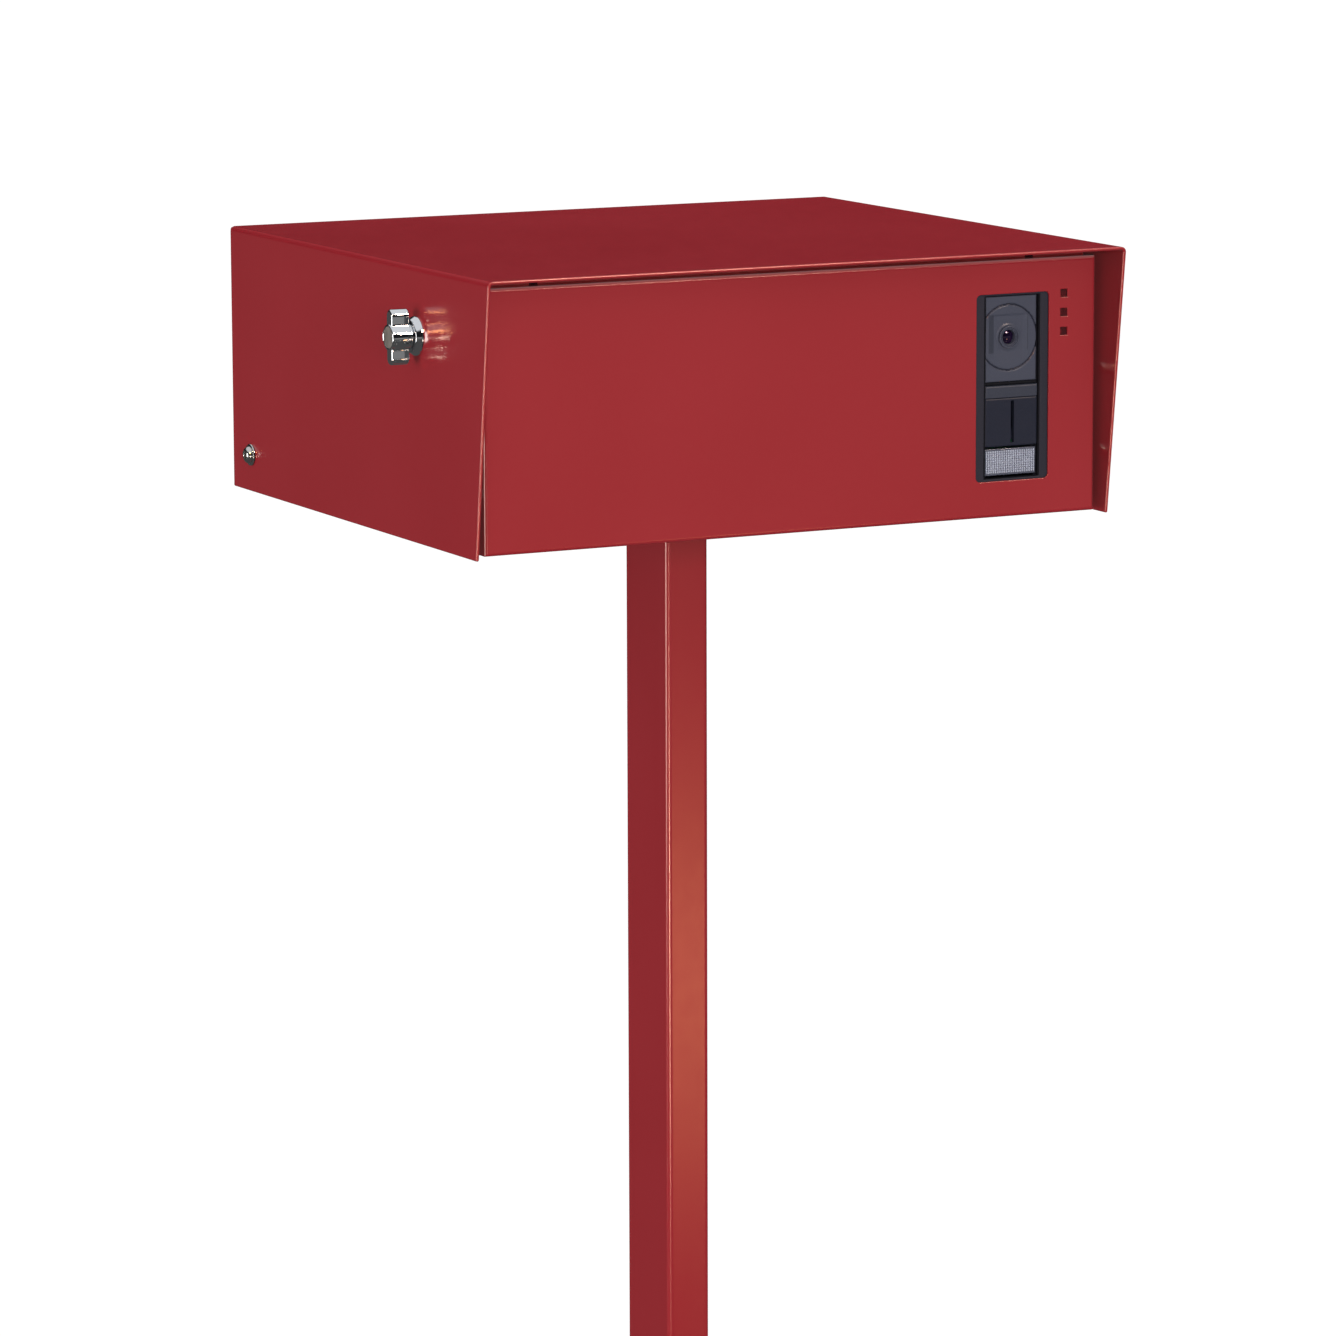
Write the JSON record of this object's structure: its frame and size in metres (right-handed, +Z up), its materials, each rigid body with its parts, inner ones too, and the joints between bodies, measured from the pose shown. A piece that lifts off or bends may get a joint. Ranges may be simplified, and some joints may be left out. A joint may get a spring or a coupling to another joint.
{
  "type": "post-mounted letterbox with door intercom",
  "caption": "Letterbox with a tip-back sheet hood over a fixed tray, a front panel carrying a door intercom, a wing-knob latch on the side and a slim rectangular post on a foot plate.",
  "frame": {"origin": "on the ground, under the foot plate, on the post's vertical centre line", "axes": "+Z up along the post, -Y towards the person in front of the letterbox, +X to that person's right"},
  "size_m": [0.4632, 0.395, 1.3],
  "materials": {
    "red_paint": "satin gloss powder coat, red",
    "red_inside": "satin powder coat, red, inside faces",
    "zinc": "zinc plated steel",
    "bright_chrome": "polished",
    "stainless": "bright stainless steel",
    "cap_satin": "satin, bead blasted",
    "rubber_black": "matt",
    "bush_plastic": "natural acetal",
    "grey_frame": "fine matt texture, dark grey",
    "black_module": "smooth, near black",
    "camera_grey": "semi-gloss, smoky grey",
    "lens_glass": "coated optical glass",
    "button_clear": "ribbed translucent, pale grey",
    "board_green": "solder mask",
    "terminal_plastic": "moulded nylon"
  },
  "bodies": {
    "stand": {"foot_plate": "red_paint", "post": "red_paint", "head_plate": "red_paint", "head_bolts": "zinc", "head_nuts": "zinc", "cable_grommet": "rubber_black", "tray": "red_inside", "front_panel": "red_paint", "panel_screws": "stainless", "panel_rivet_nuts": "zinc", "panel_studs": "zinc", "stud_nuts": "zinc", "rest_buffers": "rubber_black", "keeper": "zinc", "keeper_rivets": "stainless", "pivot_bushes": "bush_plastic", "pivot_washers": "stainless", "pivot_screws": "stainless", "pivot_nuts": "zinc", "intercom_frame": "grey_frame", "intercom_case": "black_module", "intercom_board": "board_green", "camera_cover": "camera_grey", "camera_ring": "black_module", "camera_barrel": "black_module", "camera_lens": "lens_glass", "speaker_cover": "black_module", "speaker_driver": "black_module", "call_switch": "black_module", "terminal_block": "terminal_plastic", "terminal_screws": "zinc", "intercom_shield": "red_inside"},
    "hood": {"hood": "red_paint", "latch_body": "bright_chrome", "latch_washer": "zinc", "latch_nut": "zinc"},
    "knob": {"wing_knob": "bright_chrome", "knob_cap": "cap_satin", "latch_spindle": "zinc", "latch_cam": "zinc", "cam_screw": "zinc"},
    "button": {"call_button": "button_clear"}
  },
  "joints": [
    {"name": "hood_tip", "type": "hinge", "parent": "stand", "child": "hood", "pos_m": [0, 0.1605, 1.154], "axis": [-1, 0, 0], "range_deg": [0, 78]},
    {"name": "knob_turn", "type": "hinge", "parent": "hood", "child": "knob", "pos_m": [-0.22, -0.098, 1.2575], "axis": [-1, 0, 0], "range_deg": [0, 90]},
    {"name": "button_press", "type": "slide", "parent": "stand", "child": "button", "axis": [0, 1, 0], "range_m": [0, 0.0015], "stiffness_N_per_m": 400, "springref_m": -0.0015}
  ]
}
